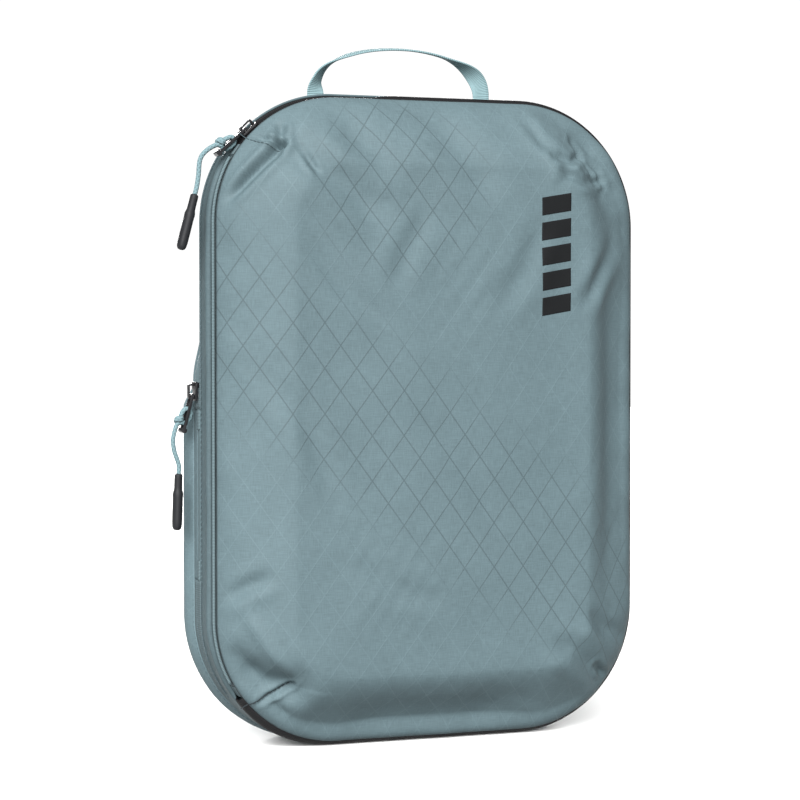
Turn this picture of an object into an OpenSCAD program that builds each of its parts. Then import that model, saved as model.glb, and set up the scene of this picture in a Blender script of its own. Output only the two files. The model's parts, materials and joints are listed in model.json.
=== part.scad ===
// Packing cube with a hinged zip lid, a compression zip and a webbing handle.
// X runs right, Y back and Z up. The origin lies on the floor, under the middle of the flat bottom.

/* [Case] */
// Width across the side band
case_w = 255; // [200:1:320]
// Height, standing on its bottom band
case_h = 360; // [280:1:450]
// Corner radius of the side band
corner_r = 72; // [60:1:90]
// Depth from the lid seam to the compression zip
front_depth = 21.5; // [18:0.5:40]
// Depth of the band behind the compression zip
rear_depth = 16.8; // [12:0.4:60]
// How far the lid seam stands in from the side band
seam_inset = 2.5; // [1:0.5:5]
// Thickness of the fabric with its lining
fabric_t = 1.2; // [1.2:0.1:2]

/* [Lid and back] */
// Width of the lid's rounded edge
lid_edge_w = 38; // [30:1:45]
// Height of the lid's rounded edge
lid_edge_h = 25; // [15:1:40]
// Extra height in the middle of the lid
lid_crown_h = 3; // [1:0.5:10]
// Height of the back panel's crown
back_crown_h = 6.5; // [3:0.5:15]
// Height of the printed mark on the lid
print_h = 70; // [40:1:90]

/* [Zips] */
// Width of the main zip, both tapes together
main_zip_w = 9.2; // [8.6:0.2:12]
// Width of the compression zip, both tapes together
comp_zip_w = 10.7; // [9.6:0.1:14]
// Thickness of a zip tape
tape_t = 0.8; // [0.6:0.1:1.2]
// Width of one coil
coil_w = 1.6; // [1.2:0.1:2]
// Thickness of one coil
coil_t = 1.4; // [1.2:0.1:1.6]
// Gap between the two coils
chain_gap = 0.9; // [0.8:0.1:1.2]
// Angle of the main zip's upper end on its corner
main_zip_top = 142; // [140:1:150]
// Angle of the main zip's lower end on its corner
main_zip_bottom = 218; // [210:1:225]
// Height of the compression slider
comp_slider_z = 196; // [170:1:200]
// Length of side band that the compression zip leaves plain
comp_plain_l = 94; // [60:1:96]

/* [Sliders and pulls] */
// Length of a slider body
slider_l = 10.4; // [9:0.2:12]
// Width of a slider body
slider_w = 8; // [7:0.2:8.4]
// Height of the bail over the slider
bail_h = 3.6; // [3.4:0.1:5]
// Length of a puller from its pin to its tip
puller_l = 21.5; // [21.5:0.5:24]
// Width of a puller
puller_w = 6; // [5.6:0.2:7]
// Diameter of the pull cord
cord_d = 2.6; // [2.4:0.1:3]
// Length of a pull grip
grip_l = 31; // [24:1:40]
// Diameter of a pull grip
grip_d = 6.2; // [5:0.2:7]

/* [Handle] */
// Distance between the handle's sewn ends
handle_span = 102; // [70:1:105]
// Height of the handle's arch
handle_rise = 30.5; // [22:0.5:50]
// Width of the handle webbing
webbing_w = 10; // [8:1:12]
// Thickness of the handle webbing
webbing_t = 1.3; // [1:0.1:2]

/* [Hidden] */
// Pull-cord routes in the puller's own plane: distance along the puller from its pin, height over it
cord_loop = [[12.8, 3.2], [10.2, 2.5], [8.4, 1.5], [7.9, 0], [8.4, -1.3], [10, -2], [12.5, -2.1],
    [14.8, -1.4], [16, 0.4], [16.4, 2.4]];
main_cord_tail = [[18.1, 4.1], [24.2, 5.3], [30, 4.1], [36.4, -1.6], [41.2, -5.5], [45, -8]];
comp_cord_tail = [[18.1, 4.1], [24.9, 4.2], [28.8, 3.25], [32.7, 1.4], [38.9, -2.7], [43.8, -3.9]];
main_grip_tilt = 33;
comp_grip_tilt = 13;
knot_at = [15, 3.6];
knot_r = 2.6;

curve_fn = 96;
corner_steps = 8;
curve_steps = 3;
tube_sides = 8;
hinge_gap = 0.4;
main_slider_angle = 134;
main_puller_tilt = 2;
comp_puller_tilt = 15;
slope_end = front_depth - 3.5;
main_chain_d = main_zip_w / 2;
main_zip_end_d = main_zip_w;
comp_chain_d = front_depth + comp_zip_w / 2;
comp_zip_end_d = front_depth + comp_zip_w;
rear_seam_d = comp_zip_end_d + rear_depth;
seam_y = -(slope_end + rear_seam_d) / 2;
arc_x = case_w / 2 - corner_r;
arc_top = case_h - corner_r;
coil_inset = tape_t + 0.1;
pleat_inset = coil_inset + coil_t + 2.5;
plain_z1 = comp_slider_z - slider_l / 2 - 4.8;
plain_z0 = plain_z1 - comp_plain_l;
plate_gap = 0.5;
top_plate_t = 1.3;
inner_plate_z = -(coil_inset + coil_t + 0.8);
inner_plate_t = 1.1;
bail_wire = 1.1;
pin_x = -2;
pin_r = 0.75;
pin_z = plate_gap + top_plate_t + bail_h / 2 - 0.5;
puller_t = 1.5;
puller_rail = 1.2;
slot_end = 18.8;
tab_t = 0.45;
fold_gap = 0.5;
tack_t = 0.8;
handle_d = rear_seam_d - 3;
shell = "#7d949a";
trim = "#a5c3c6";
black = "#1d1d1f";

// Points of one round corner
function corner(x, z, r, a) = [for (i = [0:corner_steps])
    [x + r * cos(a + 90 * i / corner_steps), z + r * sin(a + 90 * i / corner_steps)]];

// The case's outline, stepped in by an inset
function outline(inset) = let (r = corner_r - inset) concat(
    corner(arc_x, arc_top, r, 0), corner(-arc_x, arc_top, r, 90),
    corner(-arc_x, corner_r, r, 180), corner(arc_x, corner_r, r, 270));

// The same outline as a ring of points at a depth behind the lid seam
function outline_ring(inset, d) = [for (p = outline(inset)) [p[0], seam_y + d, p[1]]];

// A point on a smooth curve through four neighbouring points
function between(a, b, c, d, t) = 0.5 * (2 * b + (c - a) * t + (2 * a - 5 * b + 4 * c - d) * t * t
    + (3 * b - 3 * c + d - a) * t * t * t);

// A smooth curve through a list of points
function smooth(p) = let (n = len(p) - 1) concat([for (i = [0:n - 1], s = [0:curve_steps - 1])
    between(p[max(i - 1, 0)], p[i], p[i + 1], p[min(i + 2, n)], s / curve_steps)], [p[n]]);

// Unit direction of a curve at one of its points
function heading(p, i) = let (v = p[min(i + 1, len(p) - 1)] - p[max(i - 1, 0)]) v / norm(v);

// A closed surface through rings of points, with a flat face at each end or joined end to end
module skin(rings, joined = false) {
    m = len(rings);
    n = len(rings[0]);
    spans = joined ? m : m - 1;
    sides = [for (i = [0:spans - 1], j = [0:n - 1]) let (k = (i + 1) % m, l = (j + 1) % n)
        each [[i * n + j, i * n + l, k * n + j], [i * n + l, k * n + l, k * n + j]]];
    ends = joined ? [] : [[for (j = [n - 1:-1:0]) j], [for (j = [0:n - 1]) (m - 1) * n + j]];
    polyhedron([for (r = rings) each r], concat(sides, ends));
}

// The case's outline as a flat shape with true arcs
module outline_2d(inset) {
    w = case_w - 2 * inset;
    h = case_h - 2 * inset;
    r = corner_r - inset;
    translate([-w / 2, corner_r]) square([w, case_h - 2 * corner_r]);
    translate([-arc_x, inset]) square([2 * arc_x, h]);
    for (x = [-arc_x, arc_x], z = [corner_r, arc_top]) translate([x, z]) circle(r, $fn = curve_fn);
}

// Stretches a flat X-Z shape between two depths behind the lid seam
module between_depths(d0, d1) {
    translate([0, seam_y + d1, 0]) rotate([90, 0, 0]) linear_extrude(d1 - d0) children();
}

module band_2d(inset0, inset1) {
    difference() {
        outline_2d(inset0);
        outline_2d(inset1);
    }
}

// The left side between two angles, one on the upper corner and one on the lower
module left_side_2d(top, bottom) {
    reach = case_h;
    polygon([[-arc_x, arc_top], [-arc_x + reach * cos(top), arc_top + reach * sin(top)],
        [-2 * reach, case_h / 2], [-arc_x + reach * cos(bottom), corner_r + reach * sin(bottom)],
        [-arc_x, corner_r]]);
}

// The left side between two heights
module left_strip_2d(z0, z1) {
    translate([-case_w, z0]) square([case_w, z1 - z0]);
}

// A half of the main zip, open along the hinge
module main_zip_2d(inset0, inset1, clear = 0) {
    difference() {
        band_2d(seam_inset + inset0, seam_inset + inset1);
        left_side_2d(main_zip_top - clear, main_zip_bottom + clear);
    }
}

// A half of the compression zip, open where the side band is plain
module comp_zip_2d(inset0, inset1, clear = 0) {
    difference() {
        band_2d(inset0, inset1);
        left_strip_2d(plain_z0 - clear, plain_z1 + clear);
    }
}

module front_gusset() {
    color(shell) skin([outline_ring(seam_inset, main_zip_end_d), outline_ring(0, slope_end),
        outline_ring(0, front_depth), outline_ring(fabric_t, front_depth),
        outline_ring(fabric_t, slope_end), outline_ring(seam_inset + fabric_t, main_zip_end_d)], true);
}

// The fabric that the lid is sewn to, between the main zip's ends
module hinge_strip() {
    color(shell) between_depths(hinge_gap, main_zip_end_d) intersection() {
        band_2d(seam_inset, seam_inset + fabric_t);
        left_side_2d(main_zip_top + 0.5, main_zip_bottom - 0.5);
    }
}

// The gusset's edge where it has no compression zip
module plain_strip() {
    color(shell) between_depths(front_depth, comp_chain_d - chain_gap / 2) intersection() {
        band_2d(0, fabric_t);
        left_strip_2d(plain_z0, plain_z1);
    }
}

module hinge_piping() {
    color(trim) between_depths(hinge_gap + 0.8, hinge_gap + 2.6) intersection() {
        band_2d(seam_inset - 1.6, seam_inset);
        left_side_2d(main_zip_top + 8, main_zip_bottom - 8);
    }
}

module front_binding() {
    inset = seam_inset + fabric_t + fold_gap;
    color(black) between_depths(main_zip_end_d, main_zip_end_d + 2.4) band_2d(inset, inset + fabric_t);
}

module expansion_gusset() {
    color(shell) {
        between_depths(front_depth - 1.2, front_depth)
            band_2d(fabric_t + fold_gap, pleat_inset + fabric_t);
        between_depths(front_depth, comp_zip_end_d + 1) band_2d(pleat_inset, pleat_inset + fabric_t);
    }
}

module rear_band() {
    color(shell) {
        between_depths(comp_zip_end_d, rear_seam_d) band_2d(0, fabric_t);
        between_depths(comp_chain_d + chain_gap / 2, comp_zip_end_d) intersection() {
            band_2d(0, fabric_t);
            left_strip_2d(plain_z0, plain_z1);
        }
    }
}

module rear_binding() {
    color(black) between_depths(rear_seam_d - 3, rear_seam_d) band_2d(fabric_t, 2 * fabric_t);
}

// A domed panel: its edge follows a quarter ellipse, then it rises to a flat middle
module domed_panel(inset, edge_w, edge_h, crown_h, side) {
    edge = [for (a = [0:11.25:90]) [inset + edge_w * (1 - cos(a)), edge_h * sin(a)]];
    crown = [[inset + edge_w + 5, edge_h + crown_h * 0.6], [inset + edge_w + 9.5, edge_h + crown_h]];
    outer = concat(edge, crown);
    inner = [for (p = outer) [inset + fabric_t + (p[0] - inset) * (1 - fabric_t / edge_w),
        max(p[1] - fabric_t * p[1] / edge_h, 0)]];
    rim = side < 0 ? 0 : rear_seam_d;
    skin([for (p = concat([for (i = [len(inner) - 1:-1:0]) inner[i]], outer))
        outline_ring(p[0], rim + side * p[1])]);
}

module back_panel() {
    color(shell) mirror([1, 0, 0]) domed_panel(0, lid_edge_w, back_crown_h - 1, 1, 1);
}

module lid_panel() {
    color(shell) domed_panel(seam_inset, lid_edge_w, lid_edge_h, lid_crown_h, -1);
}

module lid_binding() {
    inset = seam_inset + fabric_t + 3 * fold_gap;
    color(black) between_depths(-3.4, -1) band_2d(inset, inset + fabric_t);
}

// An abstract mark of slanted bars down the lid's upper right
module print_mark() {
    bars = 5;
    pitch = print_h / bars;
    bar_w = 18;
    right = case_w / 2 - seam_inset - lid_edge_w - 12;
    top = case_h - seam_inset - lid_edge_w - 12;
    color(black) between_depths(-lid_edge_h - lid_crown_h - 0.3, -lid_edge_h - lid_crown_h)
        for (i = [0:bars - 1]) translate([right - bar_w, top - print_h + i * pitch])
            polygon([[0, 0], [bar_w, 3], [bar_w, pitch - 1], [0, pitch - 4]]);
}

module main_zip_tape_case() {
    color(black) between_depths(main_chain_d + chain_gap / 2, main_zip_end_d)
        main_zip_2d(0.1, coil_inset);
}

module main_zip_coil_case() {
    color(black) between_depths(main_chain_d + chain_gap / 2, main_chain_d + chain_gap / 2 + coil_w)
        main_zip_2d(coil_inset, coil_inset + coil_t, 2);
}

module main_zip_tape_lid() {
    color(black) between_depths(0, main_chain_d - chain_gap / 2) main_zip_2d(0.1, coil_inset, -0.3);
}

module main_zip_coil_lid() {
    color(black) between_depths(main_chain_d - chain_gap / 2 - coil_w, main_chain_d - chain_gap / 2)
        main_zip_2d(coil_inset, coil_inset + coil_t, -0.3);
}

module main_zip_stops() {
    color(black) between_depths(main_chain_d + chain_gap / 2, main_chain_d + chain_gap / 2 + coil_w)
        intersection() {
            main_zip_2d(coil_inset, coil_inset + coil_t);
            left_side_2d(main_zip_top - 2, main_zip_bottom + 2);
        }
}

module main_zip_end_tabs() {
    color(trim) between_depths(hinge_gap + 0.6, main_zip_end_d - 0.6) intersection() {
        band_2d(seam_inset - tab_t, seam_inset);
        difference() {
            left_side_2d(main_zip_top + 0.5, main_zip_bottom - 0.5);
            left_side_2d(main_zip_top + 7, main_zip_bottom - 7);
        }
    }
}

module comp_zip_tape_front() {
    color(shell) between_depths(front_depth, comp_chain_d - chain_gap / 2) comp_zip_2d(0.1, coil_inset);
}

module comp_zip_coil_front() {
    color(black) between_depths(comp_chain_d - chain_gap / 2 - coil_w, comp_chain_d - chain_gap / 2)
        comp_zip_2d(coil_inset, coil_inset + coil_t, 2);
}

module comp_zip_tape_rear() {
    color(shell) between_depths(comp_chain_d + chain_gap / 2, comp_zip_end_d) comp_zip_2d(0.1, coil_inset);
}

module comp_zip_coil_rear() {
    color(black) between_depths(comp_chain_d + chain_gap / 2, comp_chain_d + chain_gap / 2 + coil_w)
        comp_zip_2d(coil_inset, coil_inset + coil_t, 2);
}

module comp_zip_stops() {
    color(black) between_depths(comp_chain_d - chain_gap / 2 - coil_w, comp_chain_d - chain_gap / 2)
        intersection() {
            comp_zip_2d(coil_inset, coil_inset + coil_t);
            left_strip_2d(plain_z0 - 2, plain_z1 + 2);
        }
}

module comp_zip_end_tabs() {
    color(trim) between_depths(front_depth + 0.6, comp_chain_d - chain_gap / 2 - 0.4) intersection() {
        band_2d(-tab_t, 0);
        difference() {
            left_strip_2d(plain_z0, plain_z1);
            left_strip_2d(plain_z0 + 11, plain_z1 - 11);
        }
    }
}

// Places a slider's pieces: local +Z points out of the case and -X down the zip
module at_main_slider() {
    r = corner_r - seam_inset;
    at = [-arc_x + r * cos(main_slider_angle), arc_top + r * sin(main_slider_angle)];
    translate([at[0], seam_y + main_chain_d, at[1]]) rotate([0, 90 - main_slider_angle, 0]) children();
}

module at_comp_slider() {
    translate([-case_w / 2, seam_y + comp_chain_d, comp_slider_z]) rotate([0, -90, 0]) children();
}

module slider_plate(z, t) {
    nose = slider_w / 2 - 1;
    translate([0, 0, z]) linear_extrude(t) polygon([[-slider_l / 2, -nose + 0.6], [-slider_l / 2, nose - 0.6],
        [-slider_l / 2 + 1, nose], [0.5, nose], [2, slider_w / 2], [slider_l / 2 - 1, slider_w / 2],
        [slider_l / 2, slider_w / 2 - 1], [slider_l / 2, 1 - slider_w / 2], [slider_l / 2 - 1, -slider_w / 2],
        [2, -slider_w / 2], [0.5, -nose], [-slider_l / 2 + 1, -nose]]);
}

// Two plates joined by a divider that runs between the coils
module slider_body() {
    divider_w = chain_gap - 0.5;
    slider_plate(plate_gap, top_plate_t);
    slider_plate(inner_plate_z - inner_plate_t, inner_plate_t);
    translate([slider_l / 2 - 3.4, -divider_w / 2, inner_plate_z])
        cube([3, divider_w, plate_gap - inner_plate_z]);
}

// A low bridge along the slider that holds the puller's pin
module bail() {
    half = 4.2;
    base = plate_gap + top_plate_t;
    translate([0, 1.1, base]) rotate([90, 0, 0]) linear_extrude(2.2) difference() {
        union() {
            translate([-half, 0]) square([2 * half, bail_h - 1.4]);
            translate([-half + 1.4, 0]) square([2 * half - 2.8, bail_h]);
            for (x = [-half + 1.4, half - 1.4]) translate([x, bail_h - 1.4]) circle(1.4, $fn = 32);
        }
        translate([-half + bail_wire, -1]) square([2 * (half - bail_wire), bail_h - bail_wire + 1]);
    }
}

// Turns a slider's frame into the puller's: +X along the puller, +Z over it, the pin at the origin
module on_puller(tilt) {
    translate([pin_x, 0, pin_z]) rotate([0, 180 + tilt, 0]) mirror([0, 0, 1]) children();
}

// A flat plate with a pin at one end, a window for the bail, a slot for the cord and a thick tip
module puller() {
    half_t = puller_t / 2;
    tip_l = puller_l - slot_end - 0.2;
    slot_w = puller_w - 2 * puller_rail;
    rotate([90, 0, 0]) cylinder(r = pin_r, h = puller_w, center = true, $fn = 32);
    difference() {
        translate([0, -puller_w / 2, -half_t]) cube([puller_l - 1, puller_w, puller_t]);
        translate([-1, -slot_w / 2, -puller_t]) cube([6, slot_w, 2 * puller_t]);
        translate([6.2, -slot_w / 2, -puller_t]) cube([slot_end - 6.2, slot_w, 2 * puller_t]);
    }
    rotate([90, 0, 0]) translate([slot_end + 0.2, -1.6, -puller_w / 2]) linear_extrude(puller_w) {
        square([tip_l - 1.2, 3.2]);
        translate([0, 1]) square([tip_l, 1.2]);
        for (z = [1.2, 2]) translate([tip_l - 1.2, z]) circle(1.2, $fn = 32);
    }
}

// A round cord along a route in the puller's plane
module cord(route) {
    p = smooth(route);
    skin([for (i = [0:len(p) - 1]) let (h = heading(p, i)) [for (j = [0:tube_sides - 1])
        let (a = 360 * j / tube_sides, out = cord_d / 2 * cos(a))
        [p[i][0] - h[1] * out, cord_d / 2 * sin(a), p[i][1] + h[0] * out]]]);
}

module cord_knot() {
    translate([knot_at[0], 0, knot_at[1]]) sphere(knot_r, $fn = 48);
}

// A moulded grip that starts at the cord's end
module grip(tail, tilt) {
    end = tail[len(tail) - 1];
    neck_r = grip_d / 2 - 0.9;
    r = grip_d / 2;
    translate([end[0], 0, end[1]]) rotate([0, 90 + tilt, 0]) rotate_extrude($fn = 48) {
        polygon([[0, 0], [neck_r, 0], [neck_r, 9], [r, 11.5], [r, grip_l - 2], [r - 0.6, grip_l - 0.8],
            [r - 1.6, grip_l], [0, grip_l]]);
    }
}

module main_slider() { color(black) at_main_slider() slider_body(); }
module main_bail() { color(black) at_main_slider() bail(); }
module main_puller() { color(black) at_main_slider() on_puller(main_puller_tilt) puller(); }
module main_cord_loop() { color(trim) at_main_slider() on_puller(main_puller_tilt) cord(cord_loop); }
module main_cord_knot() { color(trim) at_main_slider() on_puller(main_puller_tilt) cord_knot(); }
module main_cord_tail() { color(trim) at_main_slider() on_puller(main_puller_tilt) cord(main_cord_tail); }
module main_grip() {
    color(black) at_main_slider() on_puller(main_puller_tilt) grip(main_cord_tail, main_grip_tilt);
}
module comp_slider() { color(black) at_comp_slider() slider_body(); }
module comp_bail() { color(black) at_comp_slider() bail(); }
module comp_puller() { color(black) at_comp_slider() on_puller(comp_puller_tilt) puller(); }
module comp_cord_loop() { color(trim) at_comp_slider() on_puller(comp_puller_tilt) cord(cord_loop); }
module comp_cord_knot() { color(trim) at_comp_slider() on_puller(comp_puller_tilt) cord_knot(); }
module comp_cord_tail() { color(trim) at_comp_slider() on_puller(comp_puller_tilt) cord(comp_cord_tail); }
module comp_grip() {
    color(black) at_comp_slider() on_puller(comp_puller_tilt) grip(comp_cord_tail, comp_grip_tilt);
}

// The webbing lies flat on the band's seam at its ends and turns edge-on by a fifth of its length
module handle_strap() {
    steps = 40;
    lift = tack_t + webbing_t / 2 + 0.2;
    rings = [for (i = [0:steps]) let (
        a = 180 * i / steps,
        x = -handle_span / 2 * (cos(a) + 0.04 * sin(2 * a)),
        z = case_h + lift + (handle_rise - lift) * pow(sin(a), 0.85),
        turn = 90 * min(1, min(i, steps - i) / (steps / 5)))
        [x, z, turn]];
    color(trim) skin([for (i = [0:steps]) let (
        v = rings[min(i + 1, steps)] - rings[max(i - 1, 0)],
        l = norm([v[0], v[1]]),
        side = [-v[1] / l * cos(rings[i][2]), sin(rings[i][2]), v[0] / l * cos(rings[i][2])],
        face = [v[1] / l * sin(rings[i][2]), cos(rings[i][2]), -v[0] / l * sin(rings[i][2])])
        [for (c = [[-1, -1], [1, -1], [1, 1], [-1, 1]])
            [rings[i][0], seam_y + handle_d, rings[i][1]]
            + side * c[0] * webbing_w / 2 + face * c[1] * webbing_t / 2]]);
}

module handle_tacks() {
    y = seam_y + handle_d - 1.5;
    color(trim) for (side = [-1, 1]) translate([side * handle_span / 2 - webbing_w / 2, y, case_h])
        cube([webbing_w, 3, tack_t]);
}

front_gusset();
hinge_strip();
plain_strip();
hinge_piping();
front_binding();
expansion_gusset();
rear_band();
rear_binding();
back_panel();
lid_panel();
lid_binding();
print_mark();
main_zip_tape_case();
main_zip_coil_case();
main_zip_tape_lid();
main_zip_coil_lid();
main_zip_stops();
main_zip_end_tabs();
comp_zip_tape_front();
comp_zip_coil_front();
comp_zip_tape_rear();
comp_zip_coil_rear();
comp_zip_stops();
comp_zip_end_tabs();
main_slider();
main_bail();
main_puller();
main_cord_loop();
main_cord_knot();
main_cord_tail();
main_grip();
comp_slider();
comp_bail();
comp_puller();
comp_cord_loop();
comp_cord_knot();
comp_cord_tail();
comp_grip();
handle_strap();
handle_tacks();
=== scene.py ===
import json
import math

import bpy
import numpy as np
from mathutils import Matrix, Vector


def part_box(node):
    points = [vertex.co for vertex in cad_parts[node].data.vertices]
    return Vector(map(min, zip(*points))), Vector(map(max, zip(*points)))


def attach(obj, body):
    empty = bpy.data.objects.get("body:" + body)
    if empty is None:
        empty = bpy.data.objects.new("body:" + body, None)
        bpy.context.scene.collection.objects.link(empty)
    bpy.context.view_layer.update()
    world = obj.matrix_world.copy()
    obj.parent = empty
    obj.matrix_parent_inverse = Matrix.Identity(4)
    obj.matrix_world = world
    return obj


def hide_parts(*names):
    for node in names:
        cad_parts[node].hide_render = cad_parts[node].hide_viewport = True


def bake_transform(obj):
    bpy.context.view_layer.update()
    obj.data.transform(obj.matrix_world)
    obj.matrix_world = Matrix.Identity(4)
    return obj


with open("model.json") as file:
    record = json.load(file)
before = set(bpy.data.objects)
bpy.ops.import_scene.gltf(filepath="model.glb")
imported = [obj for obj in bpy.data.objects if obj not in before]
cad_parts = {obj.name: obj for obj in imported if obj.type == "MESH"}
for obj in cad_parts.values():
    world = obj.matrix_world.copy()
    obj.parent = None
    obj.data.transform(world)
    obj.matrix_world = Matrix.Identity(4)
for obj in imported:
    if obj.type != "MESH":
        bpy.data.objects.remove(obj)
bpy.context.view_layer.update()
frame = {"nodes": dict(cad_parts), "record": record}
mm = 0.001

# sizes that every panel shares, from the frame's own boxes; depths run back from the lid's seam
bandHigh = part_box("rear_band")[1]
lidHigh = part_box("lid_panel")[1]
caseSize = {
    "halfWidth": bandHigh.x,
    "height": bandHigh.z,
    "cornerRadius": 72 * mm,
    "seamInset": bandHigh.x - lidHigh.x,
    "seamY": lidHigh.y,
    "fabric": 1.2 * mm,
    "mainZipEnd": 9.2 * mm,
    "compZipStart": 21.5 * mm,
    "compZipEnd": 32.2 * mm,
    "rearSeam": bandHigh.y - lidHigh.y,
}
arcX = caseSize["halfWidth"] - caseSize["cornerRadius"]
quarter = caseSize["cornerRadius"] * math.pi / 2
sideRun = caseSize["height"] - 2 * caseSize["cornerRadius"]
runs = [0, arcX, quarter, sideRun, quarter, 2 * arcX, quarter, sideRun, quarter, arcX]
runEnds = np.cumsum(runs)
roundLength = runEnds[-1]
lowZ = caseSize["cornerRadius"]
highZ = caseSize["height"] - lowZ
coreX = np.array([0, arcX, arcX, arcX, arcX, -arcX, -arcX, -arcX, -arcX, 0])
coreZ = np.array([lowZ, lowZ, lowZ, highZ, highZ, highZ, highZ, lowZ, lowZ, lowZ])
coreTurn = np.radians([-90, -90, 0, 0, 90, 90, 180, 180, 270, 270])


def outline(run, inset):  # run goes round from the bottom's middle: right, top, left
    x = np.interp(run, runEnds, coreX)
    z = np.interp(run, runEnds, coreZ)
    turn = np.interp(run, runEnds, coreTurn)
    radius = caseSize["cornerRadius"] - inset
    return x + radius * np.cos(turn), z + radius * np.sin(turn), np.cos(turn), np.sin(turn)


def runOfAngle(angle):  # where a corner angle on the left lies along the outline
    if angle < 180:
        return runEnds[5] + (angle - 90) / 90 * quarter
    return runEnds[7] + (angle - 180) / 90 * quarter


def runOfLeftZ(z):
    return runEnds[6] + (highZ - z)


def smoothStep(value, low, high):
    k = np.clip((value - low) / (high - low), 0, 1)
    return k * k * (3 - 2 * k)


def hump(value, middle, width):
    return np.exp(-((value - middle) / width) ** 2)


# camera, a little above the middle and turned to the cube's left side
cameraSetting = {"turn": 22.54, "distance": 1.4389, "height": 0.2298, "pitch": 1.563, "lens": 115.76,
                 "shiftX": -0.0372}
turn = math.radians(cameraSetting["turn"])
bpy.ops.object.camera_add(
    location=(-math.sin(turn) * cameraSetting["distance"],
              caseSize["seamY"] - math.cos(turn) * cameraSetting["distance"], cameraSetting["height"]),
    rotation=(math.radians(90 - cameraSetting["pitch"]), 0, -turn))
camera = bpy.context.object
camera.data.lens = cameraSetting["lens"]
camera.data.shift_x = cameraSetting["shiftX"]
bpy.context.scene.camera = camera
print("camera ready")


# materials: sums on sockets become nodes
class Wire:
    def __init__(self, tree, socket=None):
        self.tree = tree
        self.socket = socket

    def node(self, kind, settings=None, inputs=None, output=0):
        made = self.tree.nodes.new(kind)
        for key, value in (settings or {}).items():
            if key == "stops":
                ramp = made.color_ramp
                while len(ramp.elements) < len(value):
                    ramp.elements.new(0.5)
                for element, (place, colour) in zip(ramp.elements, value):
                    element.position = place
                    element.color = colour
            else:
                setattr(made, key, value)
        for key, value in (inputs or {}).items():
            if isinstance(value, Wire):
                self.tree.links.new(value.socket, made.inputs[key])
            else:
                made.inputs[key].default_value = value
        return Wire(self.tree, made.outputs[output])

    def maths(self, operation, other=0.0):
        return self.node("ShaderNodeMath", {"operation": operation}, {0: self, 1: other})

    def __add__(self, other):
        return self.maths("ADD", other)

    def __sub__(self, other):
        return self.maths("SUBTRACT", other)

    def __mul__(self, other):
        return self.maths("MULTIPLY", other)

    def __truediv__(self, other):
        return self.maths("DIVIDE", other)

    def __rsub__(self, other):
        return self.node("ShaderNodeMath", {"operation": "SUBTRACT"}, {0: other, 1: self})

    __radd__ = __add__
    __rmul__ = __mul__

    def __abs__(self):
        return self.maths("ABSOLUTE")

    def zigzag(self, shift=50):  # 0.5 at whole numbers, nought halfway between
        return abs((self + shift).maths("FRACT") - 0.5)

    def ramp(self, low, high):  # 0 below low, 1 above high
        return self.node("ShaderNodeMapRange", {"interpolation_type": "SMOOTHSTEP"},
                         {"Value": self, "From Min": low, "From Max": high})

    def line(self, half):  # 1 near nought, falling off past half
        return 1 - abs(self).ramp(half * 0.6, half * 1.4)

    def noise(self, scale, detail=2.0, roughness=0.5):
        return self.node("ShaderNodeTexNoise", None,
                         {"Vector": self, "Scale": scale, "Detail": detail, "Roughness": roughness})

    def stretched(self, scale):
        return self.node("ShaderNodeMapping", None, {"Vector": self, "Scale": scale})

    def parts(self):
        split = self.node("ShaderNodeSeparateXYZ", None, {"Vector": self})
        outputs = split.socket.node.outputs
        return Wire(self.tree, outputs[0]), Wire(self.tree, outputs[1]), Wire(self.tree, outputs[2])

    def mix(self, first, second):  # colours, by this wire
        made = self.node("ShaderNodeMix", {"data_type": "RGBA"}, {0: self, 6: first, 7: second})
        return Wire(self.tree, made.socket.node.outputs[2])


def startMaterial(name, constants):
    material = bpy.data.materials.new(name)
    material.use_nodes = True
    tree = material.node_tree
    shader = tree.nodes["Principled BSDF"]
    for key, value in constants.items():
        shader.inputs[key].default_value = value
    start = Wire(tree)

    def finish(colour=None, roughness=None, height=None, depth=0.2 * mm, strength=1.0):
        for key, value in (("Base Color", colour), ("Roughness", roughness)):
            if isinstance(value, Wire):
                tree.links.new(value.socket, shader.inputs[key])
            elif value is not None:
                shader.inputs[key].default_value = value
        if height is not None:
            bump = start.node("ShaderNodeBump", None,
                              {"Height": height, "Distance": depth, "Strength": strength})
            tree.links.new(bump.socket, shader.inputs["Normal"])
        return material

    return start, finish


def uvPlace(start):
    return start.node("ShaderNodeUVMap", {"uv_map": "UVMap"})


def objectPlace(start):
    return start.node("ShaderNodeTexCoord", None, None, "Object")


def tinted(colour, amount):
    return (colour[0] * amount, colour[1] * amount, colour[2] * amount, 1)


shellLook = {
    "colour": (0.072, 0.106, 0.117),
    "roughness": 0.68,
    "specular": 0.2,
    "rhombWide": 18 * mm,
    "rhombTall": 24.6 * mm,
    "linePlace": 0.012,  # how far each grid line lies from the rhomb's edge, and its half width
    "lineHalf": 0.012,
    "upThreads": (2300, 170, 1),
    "acrossThreads": (150, 2100, 1),
    "patches": 55.0,
    "tones": (0.72, 1.24),
    # the grid lines' dark and light tones are painted shade and painted highlight on the cloth's own pattern
    "darkLine": 0.42,
    "lightLine": 1.35,
    "wallLines": 0.22,
    "panelLightLines": 0.26,
    "panelDarkLines": 0.5,
}
# where the lid's grid lines are painted dark: painted shade along a diagonal band and round a patch
paintedShadeBand = {"start": (-0.127, 0.24), "way": (0.585, 0.811), "half": 0.045,
            "patch": (-0.027, 0.31), "patchSize": 0.0028}


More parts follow.
